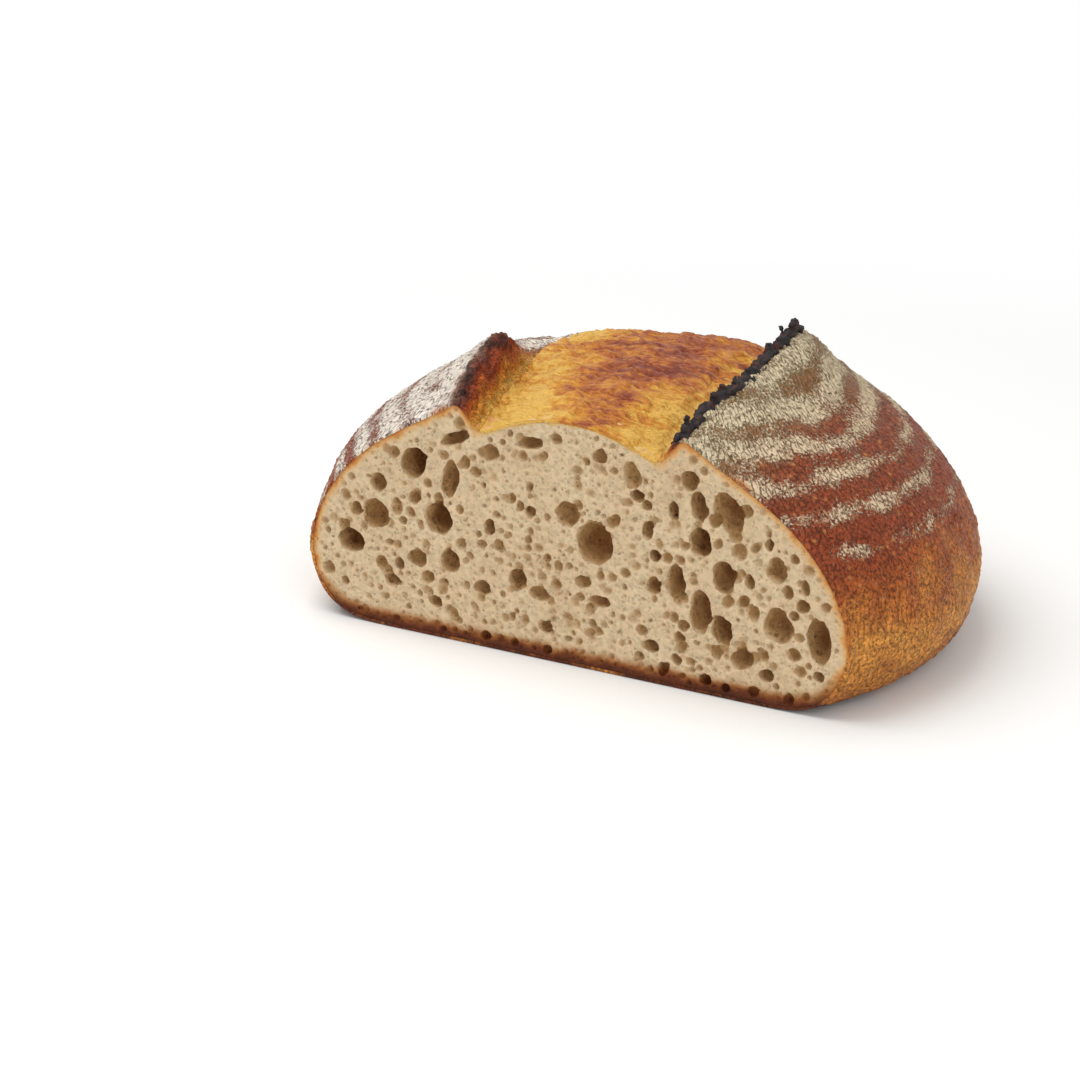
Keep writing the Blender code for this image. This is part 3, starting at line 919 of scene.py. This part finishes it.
def torn_bloom():
    """Crust that tore open in the oven: golden fibres across the score, toasted red-brown on top."""
    material, tree, shader = new_material("torn_bloom", 0.5, 0.3)
    place = add(tree, "TexCoord").outputs["Object"]
    axes = add(tree, "SeparateXYZ", {0: place})
    # Fibres 17 mm long and 4 mm apart, and threads of a fifth of that.
    stretched = add(tree, "Mapping", {"Vector": place, "Scale": (60.0, 230.0, 110.0)}).outputs[0]
    fibres = add(tree, "TexNoise", {
        "Vector": stretched, "Scale": 1.0, "Detail": 5.0, "Roughness": 0.62,
    }).outputs["Fac"]
    fine = add(tree, "Mapping", {"Vector": place, "Scale": (300.0, 1100.0, 500.0)}).outputs[0]
    threads = add(tree, "TexNoise", {"Vector": fine, "Scale": 1.0, "Detail": 3.0}).outputs["Fac"]
    patches = add(tree, "TexNoise", {"Vector": place, "Scale": 34.0, "Detail": 3.0}).outputs["Fac"]
    flecks = add(tree, "TexNoise", {
        "Vector": place, "Scale": 420.0, "Detail": 4.0, "Roughness": 0.7,
    }).outputs["Fac"]
    out = add(tree, "Math", {0: axes.outputs["X"]}, operation="ABSOLUTE").outputs[0]
    centre = add(tree, "MapRange", {0: out, 1: 0.010, 2: 0.040, 3: 0.12, 4: -0.30}).outputs[0]
    far = CUT_Y + 0.05
    back = add(tree, "MapRange", {0: axes.outputs["Y"], 1: CUT_Y, 2: far, 3: -0.22, 4: 0.06}).outputs[0]
    toast = fibres
    # Each adds to the toasting by its weight.
    for part, weight in ((patches, 1.0), (centre, 1.0), (back, 1.0), (flecks, 0.6), (threads, 0.55)):
        toast = add(tree, "Math", {0: part, 1: weight, 2: toast}, operation="MULTIPLY_ADD").outputs[0]
    toast = add(tree, "MapRange", {0: toast, 1: 1.30, 2: 1.90}).outputs[0]
    colour = add(tree, "ValToRGB", {0: toast}, stops=[
        (0.0, "#dfb052"), (0.3, "#cd8d30"), (0.52, "#bd732b"), (0.74, "#9f5229"), (1.0, "#7a341d"),
    ]).outputs[0]
    tree.links.new(colour, shader.inputs["Base Color"])
    height = add(tree, "Mix", {0: 0.5, 2: fibres, 3: threads}).outputs[0]
    bump = add(tree, "Bump", {"Strength": 1.0, "Distance": 0.0038, "Height": height})
    tree.links.new(bump.outputs[0], shader.inputs["Normal"])
    return material


def crumb_flesh(tree, place, y, open_pore, web):
    """The flesh: pale in soft clouds, with painted shade deeper down in the bubbles and in its pores, and
    mottled.
    """
    clouds = add(tree, "TexNoise", {"Vector": place, "Scale": 60.0, "Detail": 3.0}).outputs["Fac"]
    flesh = add(tree, "Mix", {
        0: clouds, 6: shade("#cdb08a"), 7: shade("#dfc9a6"),
    }, data_type="RGBA").outputs[2]
    # Painted shade: the flesh turns darker and browner the deeper it lies behind the cut, down in the
    # bubbles.
    depth = add(tree, "MapRange", {0: y, 1: CUT_Y + 0.0004, 2: CUT_Y + 0.0075}).outputs[0]
    bubble_shade = add(tree, "ValToRGB", {0: depth}, stops=[
        (0.0, "#ffffff"), (0.3, "#d9c4a4"), (1.0, "#a07a50"),
    ]).outputs[0]
    shaded = add(tree, "MapRange", {0: open_pore, 3: 0.80, 4: 1.0}).outputs[0]
    mottled = add(tree, "MapRange", {0: web, 1: 0.36, 2: 0.60, 3: 0.84, 4: 1.04}).outputs[0]
    for part in (bubble_shade, shaded, mottled):
        flesh = add(tree, "Mix", {
            0: 1.0, 6: flesh, 7: part,
        }, data_type="RGBA", blend_type="MULTIPLY").outputs[2]
    return flesh


def crumb_rim(tree, place, axes):
    """The rim's colour, and a share that grows from 0 at the skin to 1 where the flesh begins.

    The rim is orange at the sides, thick and dark brown at the bottom, thin and yellow under the bloom.
    """
    rim = add(tree, "Attribute", attribute_name="rim").outputs["Fac"]
    uneven = add(tree, "TexNoise", {"Vector": place, "Scale": 160.0, "Detail": 3.0}).outputs["Fac"]
    wander = add(tree, "MapRange", {0: uneven, 1: 0.3, 2: 0.7, 3: -0.0011, 4: 0.0011}).outputs[0]
    low = add(tree, "MapRange", {0: axes.outputs["Z"], 1: 0.004, 2: 0.018, 3: 1.0, 4: 0.0}).outputs[0]
    reach = add(tree, "MapRange", {0: low, 3: 0.0048, 4: 0.0090}).outputs[0]
    out = add(tree, "Math", {0: axes.outputs["X"]}, operation="ABSOLUTE").outputs[0]
    bloomed = add(tree, "MapRange", {0: out, 1: 0.036, 2: 0.030}).outputs[0]
    high = add(tree, "MapRange", {0: axes.outputs["Z"], 1: 0.05, 2: 0.07}).outputs[0]
    bloomed = add(tree, "Math", {0: bloomed, 1: high}, operation="MULTIPLY").outputs[0]
    thinner = add(tree, "MapRange", {0: bloomed, 3: 1.0, 4: 0.4}).outputs[0]
    reach = add(tree, "Math", {0: reach, 1: thinner}, operation="MULTIPLY").outputs[0]
    away = add(tree, "Math", {0: rim, 1: wander}, operation="ADD").outputs[0]
    share = add(tree, "Math", {0: away, 1: reach}, operation="DIVIDE").outputs[0]
    side = add(tree, "ValToRGB", {0: share}, stops=[
        (0.0, "#b4642a"), (0.3, "#cb8d4a"), (0.5, "#d6aa74"), (0.8, "#d6ba92"),
    ]).outputs[0]
    bottom = add(tree, "ValToRGB", {0: share}, stops=[
        (0.0, "#34170a"), (0.3, "#622e13"), (0.6, "#9a5f2a"), (1.0, "#c2a077"),
    ]).outputs[0]
    toned = add(tree, "Mix", {0: low, 6: side, 7: bottom}, data_type="RGBA").outputs[2]
    toned = add(tree, "Mix", {0: bloomed, 6: toned, 7: shade("#d8b06c")}, data_type="RGBA").outputs[2]
    return toned, share


def open_crumb():
    """Moist sourdough crumb, cut with a knife: pale flesh with painted shade inside the bubbles, browner at
    the rim.
    """
    material, tree, shader = new_material("open_crumb", 0.75, 0.3)
    shader.inputs["Subsurface Weight"].default_value = 0.15
    shader.inputs["Subsurface Scale"].default_value = 0.002
    place = add(tree, "TexCoord").outputs["Object"]
    axes = add(tree, "SeparateXYZ", {0: place})
    # Pores up to 1 mm wide, too fine to cut: some of the cells of a 1.3 mm pattern.
    pores = add(tree, "TexVoronoi", {"Vector": place, "Scale": 780.0})
    width = add(tree, "SeparateXYZ", {0: pores.outputs["Color"]}).outputs["X"]
    width = add(tree, "MapRange", {0: width, 1: 0.15, 2: 1.0, 3: 0.03, 4: 0.55}).outputs[0]
    open_pore = add(tree, "MapRange", {0: pores.outputs["Distance"], 1: 0.0, 2: width}).outputs[0]
    # The flesh's web, 2 mm wide.
    web = add(tree, "TexNoise", {
        "Vector": place, "Scale": 520.0, "Detail": 3.0, "Roughness": 0.6,
    }).outputs["Fac"]
    flesh = crumb_flesh(tree, place, axes.outputs["Y"], open_pore, web)
    toned, share = crumb_rim(tree, place, axes)
    inner = add(tree, "MapRange", {0: share, 1: 0.45, 2: 1.1}, interpolation_type="SMOOTHSTEP").outputs[0]
    colour = add(tree, "Mix", {0: inner, 6: toned, 7: flesh}, data_type="RGBA").outputs[2]
    tree.links.new(colour, shader.inputs["Base Color"])
    height = add(tree, "Math", {0: web, 1: 1.6, 2: open_pore}, operation="MULTIPLY_ADD").outputs[0]
    bump = add(tree, "Bump", {"Strength": 0.8, "Distance": 0.0007, "Height": height})
    tree.links.new(bump.outputs[0], shader.inputs["Normal"])
    return material


def charred_crust():
    """Crust burnt to carbon at its thin edge: black, matt and crumbling, dark red in its cracks."""
    material, tree, shader = new_material("charred_crust", 0.7, 0.4)
    place = add(tree, "TexCoord").outputs["Object"]
    clumps = add(tree, "TexNoise", {"Vector": place, "Scale": 420.0, "Detail": 3.0}).outputs["Fac"]
    colour = add(tree, "ValToRGB", {0: clumps}, stops=[
        (0.35, "#171314"), (0.55, "#2a2122"), (0.68, "#4a2319"),
    ]).outputs[0]
    tree.links.new(colour, shader.inputs["Base Color"])
    bump = add(tree, "Bump", {"Strength": 0.5, "Distance": 0.0006, "Height": clumps})
    tree.links.new(bump.outputs[0], shader.inputs["Normal"])
    return material


def dress_crust(crust):
    """Give the torn skin between the grooves its own material."""
    crust.data.materials.append(baked_crust())
    crust.data.materials.append(torn_bloom())
    bloom = read(crust, "bloom")
    corners = np.empty(len(crust.data.loops), np.int32)
    crust.data.loops.foreach_get("vertex_index", corners)
    starts = np.empty(len(crust.data.polygons), np.int32)
    crust.data.polygons.foreach_get("loop_start", starts)
    # Each face has four corners, and more than 0.55 of it lies on the bloom.
    on_bloom = np.add.reduceat(bloom[corners], starts) > 4 * 0.55
    crust.data.polygons.foreach_set("material_index", on_bloom.astype(np.int32))


# --- Stage ---


def make_floor():
    """A pale table that keeps the loaf's soft shadow and turns plain white further out."""
    bpy.ops.mesh.primitive_circle_add(vertices=96, radius=6.0, fill_type="NGON", location=(0, 0, -0.0003))
    floor = bpy.context.object
    floor.name = "table"
    material, tree, shader = new_material("white_table", 0.9, 0.0)
    shader.inputs["Base Color"].default_value = shade("#f4f4f2")
    place = add(tree, "TexCoord").outputs["Object"]
    away = add(tree, "VectorMath", {0: place}, operation="LENGTH").outputs["Value"]
    far = add(tree, "MapRange", {0: away, 1: 0.20, 2: 0.55}, interpolation_type="SMOOTHSTEP").outputs[0]
    seen = add(tree, "LightPath").outputs["Is Camera Ray"]
    fade = add(tree, "Math", {0: far, 1: seen}, operation="MULTIPLY").outputs[0]
    plain = add(tree, "Emission", {"Color": (1, 1, 1, 1), "Strength": 1.0}).outputs[0]
    both = add(tree, "MixShader", {0: fade, 1: shader.outputs[0], 2: plain}).outputs[0]
    tree.links.new(both, tree.nodes["Material Output"].inputs["Surface"])
    floor.data.materials.append(material)


def add_lamp(name, place, size, power):
    """A soft white lamp that faces the loaf."""
    data = bpy.data.lights.new(name, "AREA")
    data.size = size
    data.energy = power
    lamp = bpy.data.objects.new(name, data)
    lamp.location = place
    lamp.rotation_euler = (Vector((0, 0, 0.04)) - Vector(place)).to_track_quat("-Z", "Y").to_euler()
    bpy.context.scene.collection.objects.link(lamp)


def light_studio():
    """A white world that lights softly and shows plain white, with two soft lamps."""
    world = bpy.data.worlds.new("studio")
    world.use_nodes = True
    tree = world.node_tree
    rays = add(tree, "LightPath")
    seen = rays.outputs["Is Camera Ray"]
    for kind in ("Is Glossy Ray", "Is Transmission Ray"):
        seen = add(tree, "Math", {0: seen, 1: rays.outputs[kind]}, operation="MAXIMUM").outputs[0]
    strength = add(tree, "MapRange", {0: seen, 3: WORLD_LIGHT, 4: 1.0}).outputs[0]
    background = tree.nodes["Background"]
    background.inputs["Color"].default_value = (1, 1, 1, 1)
    tree.links.new(strength, background.inputs["Strength"])
    bpy.context.scene.world = world
    for name, spot, size, power in LAMPS:
        add_lamp(name, spot, size, power)


def place_camera():
    """The camera, level across, with everything sharp."""
    data = bpy.data.cameras.new("camera")
    data.lens = CAMERA_LENS
    data.sensor_width = SENSOR_WIDTH
    data.dof.use_dof = False
    camera = bpy.data.objects.new("camera", data)
    camera.location = CAMERA_PLACE
    camera.rotation_euler = (math.radians(90 - CAMERA_HEIGHT_ANGLE), 0.0, math.radians(CAMERA_TURN))
    bpy.context.scene.collection.objects.link(camera)
    bpy.context.scene.camera = camera


def build():
    """Make the loaf's three pieces, then the studio round it."""
    crust = make_crust()
    dress_crust(crust)
    crumb = make_crumb()
    mark_rim(crumb)
    crumb.data.materials.clear()
    crumb.data.materials.append(open_crumb())
    crest = make_crest()
    crest.data.materials.clear()
    crest.data.materials.append(charred_crust())
    for piece, slot in ((crust, "crust"), (crumb, "crumb"), (crest, "crust")):
        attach(piece, "root")
        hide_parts("loaf")
    make_floor()
    light_studio()
    place_camera()
    bpy.context.scene.view_settings.view_transform = "Standard"


build()
